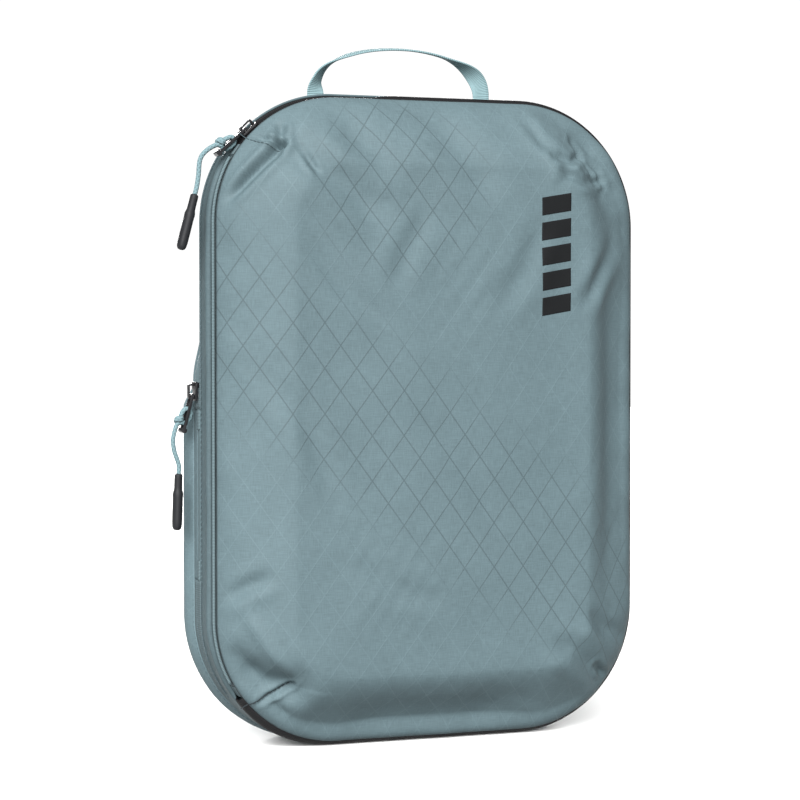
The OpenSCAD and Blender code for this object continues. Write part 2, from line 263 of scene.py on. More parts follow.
def shellMaterial(name, shadedBand, amount=1.0):
    look = shellLook
    start, finish = startMaterial(name, {"Specular IOR Level": look["specular"]})
    place = uvPlace(start)
    u, v, w = place.parts()
    across = u / look["rhombWide"]
    up = v / look["rhombTall"]
    lines = None
    for diagonal in (across + up, across - up):
        mark = (diagonal.zigzag(100) - look["linePlace"]).line(look["lineHalf"])
        lines = mark if lines is None else lines.maths("MAXIMUM", mark)
    upThreads = place.stretched(look["upThreads"]).noise(1.0, 1.5)
    acrossThreads = place.stretched(look["acrossThreads"]).noise(1.0, 1.5)
    weave = upThreads * 0.5 + acrossThreads * 0.5
    shade = 0.55 + (weave - 0.5) * 1.7 + (place.noise(look["patches"], 3.0) - 0.5) * 0.3
    # amount below 1 makes a darker copy and above 1 a lighter copy of the same cloth: painted shade or
    # painted light
    colour = tinted(look["colour"], amount)
    dark = tinted(colour, look["darkLine"])
    light = tinted(colour, look["lightLine"])
    cloth = shade.mix(tinted(colour, look["tones"][0]), tinted(colour, look["tones"][1]))
    if shadedBand:  # painted highlight and painted shade: the grid lines, the cloth's own pattern, are painted lighter over most of the panel and darker along one diagonal band and a patch, for where the threads catch the light
        slope = ((u - paintedShadeBand["start"][0]) * paintedShadeBand["way"][0]
                 + (v - paintedShadeBand["start"][1]) * paintedShadeBand["way"][1])
        offU = u - paintedShadeBand["patch"][0]
        offV = v - paintedShadeBand["patch"][1]
        patch = (offU * offU + offV * offV).line(paintedShadeBand["patchSize"])
        paintedShadePart = slope.line(paintedShadeBand["half"]).maths("MAXIMUM", patch)
        cloth = (lines * (1 - paintedShadePart) * look["panelLightLines"]).mix(cloth, light)
        cloth = (lines * paintedShadePart * look["panelDarkLines"]).mix(cloth, dark)
    else:
        # on the walls the grid lines are painted lighter: the cloth's pattern, with painted highlight
        cloth = (lines * look["wallLines"]).mix(cloth, light)
    height = lines * 0.35 + weave * 0.65
    rough = look["roughness"] - lines * 0.08 + (weave - 0.5) * 0.2
    return finish(cloth, rough, height, 0.22 * mm, 0.55)


def tapeMaterial(name, colour, pitch, roughness, contrast=0.3):
    start, finish = startMaterial(name, {"Specular IOR Level": 0.12})
    place = uvPlace(start)
    u, v, w = place.parts()
    ribs = (u / pitch).zigzag() * 2
    fine = place.stretched((600, 2400, 1)).noise(1.0, 2.0)
    shade = ribs * 0.5 + fine * 0.5
    cloth = shade.mix(tinted(colour, 1 - contrast), tinted(colour, 1 + contrast))
    return finish(cloth, roughness + (fine - 0.5) * 0.2, ribs * 0.7 + fine * 0.3, 0.35 * mm, 0.6)


def webbingMaterial(name, colour, pitch):
    start, finish = startMaterial(name, {"Specular IOR Level": 0.15})
    place = uvPlace(start)
    u, v, w = place.parts()
    ribs = (u / pitch).zigzag() * 2
    ends = (v / (pitch * 1.6)).zigzag() * 2
    fuzz = place.noise(1500.0, 3.0)
    # the dark gaps between the ribs are painted shade in the grooves; the fuzz is the yarn's own tone
    shade = ribs.ramp(0.2, 0.55) * 0.7 + ends * 0.1 + fuzz * 0.25
    cloth = shade.mix(tinted(colour, 0.36), tinted(colour, 1.2))
    return finish(cloth, 0.85, ribs * 0.75 + ends * 0.25 + fuzz * 0.2, 0.3 * mm, 0.6)


def cordMaterial(name, colour):
    start, finish = startMaterial(name, {"Specular IOR Level": 0.15})
    place = uvPlace(start)
    u, v, w = place.parts()
    plait = u / (2.4 * mm)
    first = (plait + v * 3).zigzag() * 2
    second = (plait - v * 3).zigzag() * 2
    braid = first.maths("MAXIMUM", second)
    fuzz = place.noise(40.0, 3.0)
    cloth = (braid * 0.7 + fuzz * 0.3).mix(tinted(colour, 0.55), tinted(colour, 1.2))
    return finish(cloth, 0.85, braid, 0.4 * mm, 0.8)


def mouldedMaterial(name, colour, roughness, constants, grain=900.0):
    start, finish = startMaterial(name, constants)
    place = objectPlace(start)
    fine = place.noise(grain, 3.0)
    broad = place.noise(90.0, 2.0)
    shade = fine * 0.3 + broad * 0.7
    tone = shade.mix(tinted(colour, 0.75), tinted(colour, 1.3))
    return finish(tone, roughness + (broad - 0.5) * 0.18, fine, 0.04 * mm, 0.5)


materials = {
    "lidCloth": shellMaterial("lidCloth", True),
    "wallCloth": shellMaterial("wallCloth", False),
    # shaded and lit copies of the wall cloth: painted shade on the front gusset and hinge strip, painted
    # light on the rear band
    "shadedWallCloth": shellMaterial("shadedWallCloth", False, 0.8),
    "litRearWallCloth": shellMaterial("litRearWallCloth", False, 1.25),
    # near black: painted shadow for the crease by the hinge
    "grooveShadowCloth": shellMaterial("grooveShadowCloth", False, 0.22),
    "zipTape": tapeMaterial("zipTape", (0.007, 0.007, 0.0076), 1.2 * mm, 0.62),
    "dyedTape": tapeMaterial("dyedTape", (0.074, 0.103, 0.112), 1.2 * mm, 0.7, 0.18),
    "edgeTape": tapeMaterial("edgeTape", (0.014, 0.014, 0.015), 1.6 * mm, 0.8),
    "webbing": webbingMaterial("webbing", (0.17, 0.255, 0.27), 1.4 * mm),
    "pipingCloth": webbingMaterial("pipingCloth", (0.105, 0.148, 0.160), 0.8 * mm),
    "cordBraid": cordMaterial("cordBraid", (0.135, 0.205, 0.222)),
    "zipCoil": mouldedMaterial("zipCoil", (0.008, 0.008, 0.009), 0.45, {"Specular IOR Level": 0.3}),
    "enamel": mouldedMaterial("enamel", (0.007, 0.007, 0.008), 0.38,
                              {"Specular IOR Level": 0.3, "Coat Weight": 0.1, "Coat Roughness": 0.25}),
    "gripRubber": mouldedMaterial("gripRubber", (0.011, 0.0115, 0.013), 0.52, {"Specular IOR Level": 0.15}),
    "printInk": mouldedMaterial("printInk", (0.004, 0.0045, 0.005), 0.7,
                                {"Specular IOR Level": 0.12}, 1800.0),
    "thread": mouldedMaterial("thread", (0.05, 0.072, 0.08), 0.8, {"Specular IOR Level": 0.15}, 2500.0),
    "darkThread": mouldedMaterial("darkThread", (0.02, 0.025, 0.028), 0.8,
                                  {"Specular IOR Level": 0.15}, 2500.0),
}
print("materials ready")


# helpers that make the pieces
def clearSelection():
    if bpy.context.object and bpy.context.object.mode != "OBJECT":
        bpy.ops.object.mode_set(mode="OBJECT")
    bpy.ops.object.select_all(action="DESELECT")


def editAll():
    bpy.ops.object.mode_set(mode="EDIT")
    bpy.ops.mesh.select_all(action="SELECT")


def gridPiece(name, cellsAcross, cellsAlong, place, uvOf=None):
    clearSelection()
    bpy.ops.mesh.primitive_grid_add(x_subdivisions=cellsAcross, y_subdivisions=cellsAlong, size=2)
    piece = bpy.context.object
    piece.name = name
    piece.data.name = name
    points = np.empty(len(piece.data.vertices) * 3)
    piece.data.vertices.foreach_get("co", points)
    points = points.reshape(-1, 3)
    s = (points[:, 0] + 1) / 2
    t = (points[:, 1] + 1) / 2
    x, y, z = place(s, t)
    ones = np.ones_like(s)
    moved = np.stack([x * ones, y * ones, z * ones], axis=1)
    piece.data.vertices.foreach_set("co", moved.ravel())
    u, v = uvOf(s, t) if uvOf else (s, t)
    corners = np.empty(len(piece.data.loops), dtype=np.int32)
    piece.data.loops.foreach_get("vertex_index", corners)
    uvs = np.stack([(u * ones)[corners], (v * ones)[corners]], axis=1)
    piece.data.uv_layers[0].name = "UVMap"
    piece.data.uv_layers[0].data.foreach_set("uv", uvs.ravel())
    piece.data.update()
    editAll()
    bpy.ops.mesh.remove_doubles(threshold=0.002 * mm)
    bpy.ops.mesh.normals_make_consistent(inside=False)
    bpy.ops.object.mode_set(mode="OBJECT")
    bpy.ops.object.shade_smooth()
    return piece


def applyModifier(piece, kind, settings):
    modifier = piece.modifiers.new(kind.title(), kind)
    for key, value in settings.items():
        setattr(modifier, key, value)
    clearSelection()
    bpy.context.view_layer.objects.active = piece
    piece.select_set(True)
    bpy.ops.object.modifier_apply(modifier=modifier.name)


def thicken(piece, thickness, offset=-1.0):
    applyModifier(piece, "SOLIDIFY", {"thickness": thickness, "offset": offset, "use_rim": True})


def dress(piece, body, material, slotName, nodes=()):
    piece.data.materials.clear()
    piece.data.materials.append(materials[material])
    if body:
        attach(piece, body)
    if nodes:
        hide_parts(*nodes)
    return piece


def bandPiece(name, runFrom, runTo, cells, depths, shape, sections, thickness):
    # a strip along the outline; shape gives its inset and depth at (run, 0 to 1 across)
    def place(s, t):
        run = runFrom + (runTo - runFrom) * s
        inset, depth = shape(run, t)
        x, z, outX, outZ = outline(run % roundLength, inset)
        return x, caseSize["seamY"] + depth, z

    def uvOf(s, t):
        return runFrom + (runTo - runFrom) * s, depths[0] + (depths[1] - depths[0]) * t

    piece = gridPiece(name, cells, sections, place, uvOf)
    if thickness:
        thicken(piece, thickness)
    return piece


def tubePiece(name, path, radius, sides=12, ends=True):
    # path: rows of points; a round tube along them with its ends drawn in
    path = np.array(path)
    count = len(path)
    tangent = np.gradient(path, axis=0)
    tangent /= np.linalg.norm(tangent, axis=1)[:, None]
    lengths = np.concatenate([[0], np.cumsum(np.linalg.norm(np.diff(path, axis=0), axis=1))])
    normal = np.zeros_like(path)
    guide = np.array([0.0, 1.0, 0.0]) if abs(tangent[0][1]) < 0.9 else np.array([1.0, 0.0, 0.0])
    for i in range(count):
        guide = guide - tangent[i] * np.dot(guide, tangent[i])
        guide /= np.linalg.norm(guide)
        normal[i] = guide
    side = np.cross(tangent, normal)
    radii = np.full(count, radius) if np.isscalar(radius) else np.array(radius)
    extra = 1 if ends else 0

    def place(s, t):
        index = np.rint(s * (count - 1 + 2 * extra)).astype(int) - extra
        inside = np.clip(index, 0, count - 1)
        size = np.where((index < 0) | (index >= count), 0.0, radii[inside])
        angle = t * 2 * math.pi
        ring = normal[inside] * np.cos(angle)[:, None] + side[inside] * np.sin(angle)[:, None]
        spot = path[inside] + ring * size[:, None]
        return spot[:, 0], spot[:, 1], spot[:, 2]

    def uvOf(s, t):
        index = np.clip(np.rint(s * (count - 1 + 2 * extra)).astype(int) - extra, 0, count - 1)
        return lengths[index], t

    return gridPiece(name, count - 1 + 2 * extra, sides, place, uvOf)


def smoothPath(points, steps):
    points = [np.array(p, dtype=float) for p in points]
    last = len(points) - 1
    path = []
    for i in range(last):
        a, b, c, d = points[max(i - 1, 0)], points[i], points[i + 1], points[min(i + 2, last)]
        for k in range(steps):
            t = k / steps
            path.append(0.5 * (2 * b + (c - a) * t + (2 * a - 5 * b + 4 * c - d) * t * t
                               + (3 * b - 3 * c + d - a) * t ** 3))
    path.append(points[last])
    return path


stitchRise = [-1.4, 0.55, 1.0, 1.0, 0.55, -1.4]  # how high the thread lies along one stitch


def threadPiece(name, path, pitch, radius, lift, sides=5):
    # top stitching: a thread that lies on the cloth and dips into it between stitches
    path = np.array(path)
    steps = np.concatenate([[0], np.cumsum(np.linalg.norm(np.diff(path[:, :3], axis=0), axis=1))])
    count = max(2, int(steps[-1] / pitch)) * len(stitchRise) + 1
    along = np.linspace(0, steps[-1], count)
    spots = np.stack([np.interp(along, steps, path[:, k]) for k in range(6)], axis=1)
    rise = np.array(stitchRise)[np.arange(count) % len(stitchRise)] * lift
    return tubePiece(name, spots[:, :3] + spots[:, 3:] * rise[:, None], radius, sides)


def bandStitches(name, runFrom, runTo, inset, depth, pitch=3.0 * mm, radius=0.22 * mm, lift=0.2 * mm):
    run = np.linspace(runFrom, runTo, 500)
    x, z, outX, outZ = outline(run % roundLength, inset + pinch(run, depth))
    y = np.full_like(x, caseSize["seamY"] + depth)
    rows = np.stack([x, y, z, outX, np.zeros_like(x), outZ], axis=1)
    return threadPiece(name, rows, pitch, radius, lift)


edgeFinish = {"segments": 3, "bevelAngle": 35, "smoothAngle": 40}


def refinedCopy(node, name, bevel):  # a copy of a frame node with rounded edges
    source = frame["nodes"][node]
    clearSelection()
    bpy.ops.mesh.primitive_plane_add(size=1)
    piece = bpy.context.object
    piece.name = name
    piece.data = source.data.copy()
    piece.data.name = name
    editAll()
    bpy.ops.mesh.remove_doubles(threshold=0.01 * mm)
    bpy.ops.mesh.dissolve_limited(angle_limit=math.radians(1))
    bpy.ops.object.mode_set(mode="OBJECT")
    applyModifier(piece, "BEVEL", {"width": bevel, "segments": edgeFinish["segments"],
                                   "limit_method": "ANGLE",
                                   "angle_limit": math.radians(edgeFinish["bevelAngle"])})
    clearSelection()
    bpy.context.view_layer.objects.active = piece
    piece.select_set(True)
    bpy.ops.object.shade_smooth_by_angle(angle=math.radians(edgeFinish["smoothAngle"]))
    return piece


# pull cords, made first because they set how far the model reaches
def jointPlace(name):
    for joint in frame["record"]["behaviour"]["joints"]:
        if joint["name"] == name:
            return np.array(joint["pos_m"])


cordSize = {"diameter": 2.6 * mm,  # places are along the pull and out from it, in millimetres
            "loop": [[12.8, 3.2], [10.2, 2.5], [8.4, 1.5], [7.9, 0], [8.4, -1.3], [10, -2], [12.5, -2.1],
                     [14.8, -1.4], [16, 0.4], [16.4, 2.4]]}
knotShape = {"place": [15, 3.6], "turns": 2.5, "startTurn": 0.8, "length": 2.6 * mm, "sway": 0.5 * mm,
             "windRadius": 1.45 * mm, "strandRadius": 1.25 * mm, "steps": 60}
gripShape = {"along": [0, 0, 0.4, 1.2, 4, 8.2, 9.2, 10.4, 11.6, 16, 22, 27, 29.2, 30.4, 30.9, 31],
             "radius": [0, 1.7, 2.1, 2.25, 2.25, 2.3, 2.5, 2.9, 3.1, 3.15, 3.2, 3.15, 2.9, 2.2, 1.2, 0],
             "flattened": 0.12}
pulls = {
    "main": {"heading": 222, "gripTilt": 33,
             "tail": [[18.1, 4.1], [24.2, 5.3], [30, 4.1], [36.4, -1.6], [41.2, -5.5], [45, -8]]},
    "comp": {"heading": 255, "gripTilt": 13,
             "tail": [[18.1, 4.1], [24.9, 4.2], [28.8, 3.25], [32.7, 1.4], [38.9, -2.7], [43.8, -3.9]]},
}


def pullPoint(pull, along, over):
    pin = jointPlace(pull + "_pull_swing")
    heading = math.radians(pulls[pull]["heading"])
    lift = heading - math.pi / 2
    return pin + np.array([math.cos(heading) * along + math.cos(lift) * over, 0,
                           math.sin(heading) * along + math.sin(lift) * over]) * mm


acrossPull = np.array([0.0, 1.0, 0.0])
for pull, facts in pulls.items():
    route = [pullPoint(pull, along, over) for along, over in cordSize["loop"] + facts["tail"]]
    path = smoothPath(route, 5)
    cord = tubePiece(pull + "PullCord", path, cordSize["diameter"] / 2, 16)
    # knot: the cord wound round itself
    middle = pullPoint(pull, *knotShape["place"])
    alongWay = pullPoint(pull, 1, 0) - pullPoint(pull, 0, 0)
    alongWay /= np.linalg.norm(alongWay)
    overWay = pullPoint(pull, 0, 1) - pullPoint(pull, 0, 0)
    overWay /= np.linalg.norm(overWay)
    windings = []
    for step in range(knotShape["steps"] + 1):
        part = step / knotShape["steps"]
        angle = 2 * math.pi * part * knotShape["turns"] + knotShape["startTurn"]
        shift = (part - 0.5) * knotShape["length"] + knotShape["sway"] * math.sin(angle)
        windings.append(middle + alongWay * shift + knotShape["windRadius"]
                        * (overWay * math.cos(angle) + acrossPull * math.sin(angle)))
    knot = tubePiece(pull + "CordKnot", windings, knotShape["strandRadius"], 12)
    # grip: a soft moulded sleeve, slim at the cord and a rounded paddle below
    start = pullPoint(pull, *facts["tail"][-1])
    tilt = math.radians(facts["gripTilt"])
    down = alongWay * math.cos(tilt) - overWay * math.sin(tilt)
    outWay = alongWay * math.sin(tilt) + overWay * math.cos(tilt)
    gripSteps = len(gripShape["along"])

    def gripPlace(s, t, start=start, down=down, outWay=outWay):
        places = np.linspace(0, 1, gripSteps)
        far = np.interp(s, places, gripShape["along"]) * mm
        size = np.interp(s, places, gripShape["radius"]) * mm
        angle = t * 2 * math.pi
        flat = 1 - gripShape["flattened"] * smoothStep(far, 9 * mm, 14 * mm)
        ring = (outWay[None, :] * (np.cos(angle) * size * flat)[:, None]
                + acrossPull[None, :] * (np.sin(angle) * size)[:, None])
        spot = start[None, :] + down[None, :] * far[:, None] + ring
        return spot[:, 0], spot[:, 1], spot[:, 2]

    grip = gridPiece(pull + "Grip", (gripSteps - 1) * 3, 32, gripPlace)
    dress(cord, None, "cordBraid", "cord", [pull + "_cord_loop", pull + "_cord_tail"])
    tuple(pullPoint(pull, 16.6, 3))
    tuple(pullPoint(pull, 18.6, 3))
    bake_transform(cord)
    dress(knot, pull + "_pull", "cordBraid", "cord", [pull + "_cord_knot"])
    dress(grip, pull + "_grip", "gripRubber", "grip", [pull + "_grip"])
    points = np.array(path)
    length = float(np.sum(np.linalg.norm(np.diff(points, axis=0), axis=1)))
    print("cord", pull, round(length * 1000, 1), "mm")


# lid: a crowned panel with a rolled edge and soft creases
lidShape = {
    "inset": caseSize["seamInset"],
    "edgeWidth": 38 * mm,
    "edgeHeight": 25.5 * mm,
    "roundness": 1.36,  # 1 would be a straight bevel, 2 a quarter ellipse
    "crown": 3.0 * mm,
    "crownWidth": 70 * mm,
    "foldGain": 1.6,
    "foldFade": 8 * mm,  # creases fade out this close to the seam
    "crinkle": 0.1 * mm,
    "swells": (0.55 * mm, 0.28 * mm),
}


def insetOf(x, z):  # distance inside the case's outline
    qx = np.abs(x) - arcX
    qz = np.abs(z - caseSize["height"] / 2) - sideRun / 2
    outside = np.hypot(np.maximum(qx, 0), np.maximum(qz, 0))
    inside = np.minimum(np.maximum(qx, qz), 0)
    return caseSize["cornerRadius"] - outside - inside


def fold(x, z, points, width, depth, ridge=0.0, ends=(0.0, 0.0)):
    # a soft valley along a few points, with a ridge on its far side; ends say how open each end is
    points = np.array(points) * mm
    lengths = np.linalg.norm(np.diff(points, axis=0), axis=1)
    total = lengths.sum()
    best = np.full_like(x, 1e9)
    side = np.zeros_like(x)
    where = np.zeros_like(x)
    passed = 0.0
    for a, b, length in zip(points[:-1], points[1:], lengths):
        way = (b - a) / length
        along = np.clip((x - a[0]) * way[0] + (z - a[1]) * way[1], 0, length)
        dx = x - a[0] - along * way[0]
        dz = z - a[1] - along * way[1]
        far = np.hypot(dx, dz)
        nearer = far < best
        best = np.where(nearer, far, best)
        side = np.where(nearer, np.sign(dx * way[1] - dz * way[0]), side)
        where = np.where(nearer, (passed + along) / total, where)
        passed += length
    taper = ends[0] + (1 - ends[0]) * smoothStep(where, 0, 0.35)
    taper = taper * (ends[1] + (1 - ends[1]) * (1 - smoothStep(where, 0.65, 1)))
    width = width * mm
    across = best * side
    valley = -depth * np.exp(-(best / width) ** 2)
    bank = ridge * (np.exp(-((across - 1.7 * width) / width) ** 2)
                    + 0.6 * np.exp(-((across + 1.7 * width) / width) ** 2))
    return (valley + bank) * taper * mm * lidShape["foldGain"]


lidFolds = [
    # points, width, depth, ridge, ends
    ([(-113, 340), (-101.8, 333), (-92.2, 330.6)], 1.6, 1.6, 1.0, (0.5, 1.0)),
    ([(-92.2, 330.6), (-96.5, 325.5), (-110.9, 311), (-126, 294)], 2.5, 3.0, 1.5, (0.95, 0.0)),
    ([(-92.4, 332), (-90.5, 344)], 2.6, 1.8, 0.8, (0.7, 0.0)),
    ([(-90, 329), (-84, 327), (-59, 309.4), (-32.9, 284.2)], 9.0, 2.0, 1.0, (0.5, 0.0)),
    ([(-82, 328), (-78, 320), (-73.1, 312.8)], 2.2, 1.0, 0.7, (0.3, 0.0)),
    ([(-128.2, 80.5), (-114.1, 90.1), (-97.1, 99.2)], 4.0, 1.5, 0.9, (0.8, 0.0)),
    ([(-111.5, 20.5), (-100, 28), (-88.5, 34.8)], 1.6, 1.5, 0.8, (0.7, 0.9)),
    ([(-119, 48), (-104, 37), (-91, 35)], 9.5, 4.8, 0.8, (0.7, 0.9)),
    ([(-86, 38), (-102, 58), (-117, 84)], 3.5, -1.0, 0.0, (0.8, 0.0)),
    ([(-101.2, 27.1), (-86.4, 15.5)], 3.2, 1.1, 0.6, (0.5, 0.3)),
    ([(-80, 11), (-30, 12), (20, 12), (74, 18)], 18.0, 4.6, 0.25, (0.5, 0.5)),
    ([(102, 62), (109, 120), (110, 200), (107, 290)], 13.0, 3.7, 0.4, (0.4, 0.3)),
    ([(80, 350), (98, 324), (111, 290)], 13.0, 4.2, 0.2, (0.4, 0.4)),
    ([(-62, 352), (-48, 330), (-28, 308)], 10.0, 1.6, 0.6, (0.4, 0.0)),
    ([(-86, 284), (-60, 252), (-28, 226)], 6.0, 0.75, 0.45, (0.0, 0.0)),
    ([(-104, 210), (-80, 176), (-62, 128)], 7.0, 0.9, 0.5, (0.2, 0.0)),
    ([(-30, 190), (8, 158), (38, 112)], 8.0, 0.7, 0.4, (0.0, 0.0)),
    ([(-58, 110), (-30, 88), (6, 76)], 6.0, 0.7, 0.4, (0.0, 0.0)),
    ([(24, 236), (46, 262), (60, 300)], 7.0, 0.75, 0.4, (0.0, 0.0)),
    ([(-8, 300), (-26, 270), (-34, 246)], 6.0, 0.7, 0.4, (0.0, 0.0)),
    ([(-8, 352), (10, 328), (34, 300)], 11.0, 1.7, 0.6, (0.4, 0.0)),
    ([(51, 350), (59.7, 335), (69, 328)], 3.6, 0.8, 0.5, (0.2, 0.6)),
    ([(66, 327), (78, 325), (90, 331)], 2.6, 1.1, 0.7, (0.5, 0.5)),
    ([(84, 338), (92, 326), (101, 316)], 2.6, 1.3, 0.8, (0.4, 0.3)),
    ([(70, 318), (84, 313), (96, 312)], 2.8, 0.9, 0.6, (0.2, 0.3)),
    ([(72, 326), (75, 312)], 4.5, 1.1, 0.5, (0.5, 0.2)),
    ([(88, 318), (98, 315), (106, 317)], 2.2, 0.9, 0.6, (0.3, 0.3)),
    ([(94, 330), (103, 322), (107, 312)], 1.8, 0.8, 0.6, (0.5, 0.3)),
    ([(80.9, 238), (92, 256), (106, 276)], 5.0, 1.6, 0.9, (0.0, 0.4)),
    ([(60, 58), (80, 48), (102, 30)], 6.0, 1.5, 1.0, (0.0, 0.8)),
    ([(84, 74), (102, 60), (118, 52)], 5.0, 1.2, 0.9, (0.1, 0.6)),
    ([(98, 38), (106, 31)], 2.2, 1.5, 0.8, (0.6, 0.6)),
]


def lidFoldHeight(x, z):
    total = np.zeros_like(x)
    for points, width, depth, ridge, ends in lidFolds:
        total += fold(x, z, points, width, depth, ridge, ends)
    # slack cloth: long shallow swells, and a slight crinkle
    crinkle = (np.sin(x * 420 + z * 95 + 3 * np.sin(z * 37)) * np.sin(z * 330 - x * 150 + 2 * np.sin(x * 53))
               + 0.7 * np.sin(x * 190 - z * 480 + 4 * np.sin(x * 41 + 1)) * np.sin(x * 260 + z * 120))
    total += lidShape["crinkle"] * crinkle * (0.5 + 0.5 * np.sin(x * 43 + z * 29))
    total += lidShape["swells"][0] * np.sin(x * 31 + z * 17 + 1.2) * np.sin(z * 23 - x * 9 + 0.4)
    total += lidShape["swells"][1] * np.sin(x * 74 - z * 41 + 2.1) * np.sin(z * 57 + x * 22)
    return total


def lidSurface(x, z, inset):
    # front distance from the seam, and the outward and forward parts of the normal
    shape = lidShape
    e = np.clip((inset - shape["inset"]) / shape["edgeWidth"], 0, 1)
    power = shape["roundness"]
    left = 1 - (1 - e) ** power
    rise = left ** (1 / power)
    flatFrom = shape["inset"] + shape["edgeWidth"]
    height = shape["edgeHeight"] * rise
    height = height + shape["crown"] * smoothStep(inset, flatFrom, flatFrom + shape["crownWidth"])
    outPart = np.maximum(left, 0.001) ** (1 / power - 1) * (1 - e) ** (power - 1)
    outPart = outPart * shape["edgeHeight"] / shape["edgeWidth"]
    frontPart = np.ones_like(outPart)
    size = np.hypot(outPart, frontPart)
    return height, outPart / size, frontPart / size


lidSteps = np.cumsum(np.array(runs) * np.array([0, 0.7, 1.6, 0.7, 1.6, 0.7, 1.6, 0.7, 1.6, 0.7]))


def flatLid(s, t):  # the panel laid out flat: edge roll up to t = 0.5, then in to the middle
    run = np.interp(s, lidSteps / lidSteps[-1], runEnds)  # closer rows round the corners, where it creases
    arc = np.clip(t / 0.5, 0, 1)
    inset = lidShape["inset"] + lidShape["edgeWidth"] * arc ** 1.25
    ringX, ringZ, outX, outZ = outline(run, inset)
    pull = np.clip((t - 0.5) / 0.5, 0, 1)
    reach = caseSize["halfWidth"]
    centreZ = np.clip(ringZ, reach, caseSize["height"] - reach)
    x = ringX * (1 - pull)
    z = ringZ * (1 - pull) + centreZ * pull
    return x, z, outX, outZ, run, inset


def foldPart(inset):
    return smoothStep(inset, lidShape["inset"], lidShape["inset"] + lidShape["foldFade"])


def placeLid(s, t):
    x, z, outX, outZ, run, inset = flatLid(s, t)
    inset = np.where(t > 0.5, insetOf(x, z), inset)
    height, outPart, frontPart = lidSurface(x, z, inset)
    # the seam gathers the cloth slightly
    gather = hump(inset, lidShape["inset"] + 4 * mm, 4.5 * mm)
    around = run / roundLength * 2 * math.pi
    pucker = gather * (0.28 * np.sin(around * 34) + 0.35 * np.sin(around * 13 + 1)) * mm
    lift = lidFoldHeight(x, z) * foldPart(inset) + pucker
    lift = np.where(t < 0.001, 0, lift)
    return (x + outX * outPart * lift, caseSize["seamY"] - height - frontPart * lift,
            z + outZ * outPart * lift)


def uvLid(s, t):  # the edge is unrolled outwards, so the weave keeps its size
    x, z, outX, outZ, run, inset = flatLid(s, t)
    arc = np.clip(t / 0.5, 0, 1)
    rolled = lidShape["edgeWidth"] * 1.2 * (1 - arc ** 1.1)
    flatX, flatZ, a, b = outline(run, lidShape["inset"] + lidShape["edgeWidth"] - rolled)
    return np.where(t > 0.5, x, flatX), np.where(t > 0.5, z, flatZ)


lid = gridPiece("lidPanel", 600, 74, placeLid, uvLid)
thicken(lid, caseSize["fabric"] * 0.8)
dress(lid, "lid", "lidCloth", "shell_fabric", ["lid_panel"])
print("lid ready", len(lid.data.polygons))


def lidSpot(x, z, lift=0.0):  # a place on the lid's outside, and which way the cloth faces there
    x = np.asarray(x, dtype=float)
    z = np.asarray(z, dtype=float)
    inset = insetOf(x, z)
    height, outPart, frontPart = lidSurface(x, z, inset)
    rise = lidFoldHeight(x, z) * foldPart(inset) + lift
    step = 0.5 * mm
    outX = -(insetOf(x + step, z) - insetOf(x - step, z))
    outZ = -(insetOf(x, z + step) - insetOf(x, z - step))
    size = np.maximum(np.hypot(outX, outZ), 1e-9)
    outX, outZ = outX / size, outZ / size
    spot = (x + outX * outPart * rise, caseSize["seamY"] - height - frontPart * rise,
            z + outZ * outPart * rise)
    return spot, (outX * outPart, -frontPart, outZ * outPart)


# print: five slanted bars that follow the lid
printLow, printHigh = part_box("print_mark")
printBars = {"count": 5, "slant": 3 * mm, "gap": 4 * mm, "height": 0.12 * mm, "ink": 0.1 * mm}
bars = []
barPitch = (printHigh.z - printLow.z + 1 * mm) / printBars["count"]
for index in range(printBars["count"]):
    foot = printLow.z + index * barPitch

    def placeBar(s, t, foot=foot):
        x = printLow.x + (printHigh.x - printLow.x) * s
        low = foot + printBars["slant"] * s
        high = foot + barPitch - printBars["gap"] + printBars["slant"] * s
        return lidSpot(x, low + (high - low) * t, printBars["height"])[0]

    bars.append(gridPiece("printBar", 24, 14, placeBar))
clearSelection()
for bar in bars:
    bar.select_set(True)
bpy.context.view_layer.objects.active = bars[0]
bpy.ops.object.join()
printMark = bpy.context.object
printMark.name = "printMark"
thicken(printMark, printBars["ink"], 0)
dress(printMark, "lid", "printInk", "print", ["print_mark"])


def lidThread(name, points, pitch, radius, lift, material):
    path = smoothPath([(a * mm, b * mm) for a, b in points], 12)
    xs = np.array([p[0] for p in path])
    zs = np.array([p[1] for p in path])
    spot, facing = lidSpot(xs, zs)
    rows = np.stack([spot[0], spot[1], spot[2], facing[0], facing[1], facing[2]], axis=1)
    piece = threadPiece(name, rows, pitch, radius, lift)
    return dress(piece, "lid", material, "shell_fabric")


# stitched darts: the path's points, then the stitch, the thread's radius and how proud it lies
lidThread("upperDartStitch", [(-112, 336.4), (-101.8, 329.6), (-93.5, 327.6)], 2.8 * mm, 0.25 * mm,
          0.2 * mm, "thread")
lidThread("lowerDartStitch", [(-111.5, 23.4), (-100, 29.5), (-89.8, 35.1)], 2.6 * mm, 0.32 * mm,
          0.3 * mm, "darkThread")
print("print and darts ready")

# walls round the case and the rear shell
zipTop = runOfAngle(142)
zipBottom = runOfAngle(218)
plainTop = runOfLeftZ(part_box("plain_strip")[1].z)
plainBottom = runOfLeftZ(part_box("plain_strip")[0].z)


def lowerLeft(run):  # 1 along the left side below the compression slider
    run = run % roundLength
    return smoothStep(run, runOfLeftZ(0.20), runOfLeftZ(0.16)) * (1 - smoothStep(run, runEnds[7], runEnds[8]))


pinchShape = {"start": caseSize["compZipStart"] + 1 * mm, "most": 10.5 * mm, "corner": 5.5 * mm,
              "cornerDepths": (caseSize["mainZipEnd"] + 1 * mm, 0.0205)}


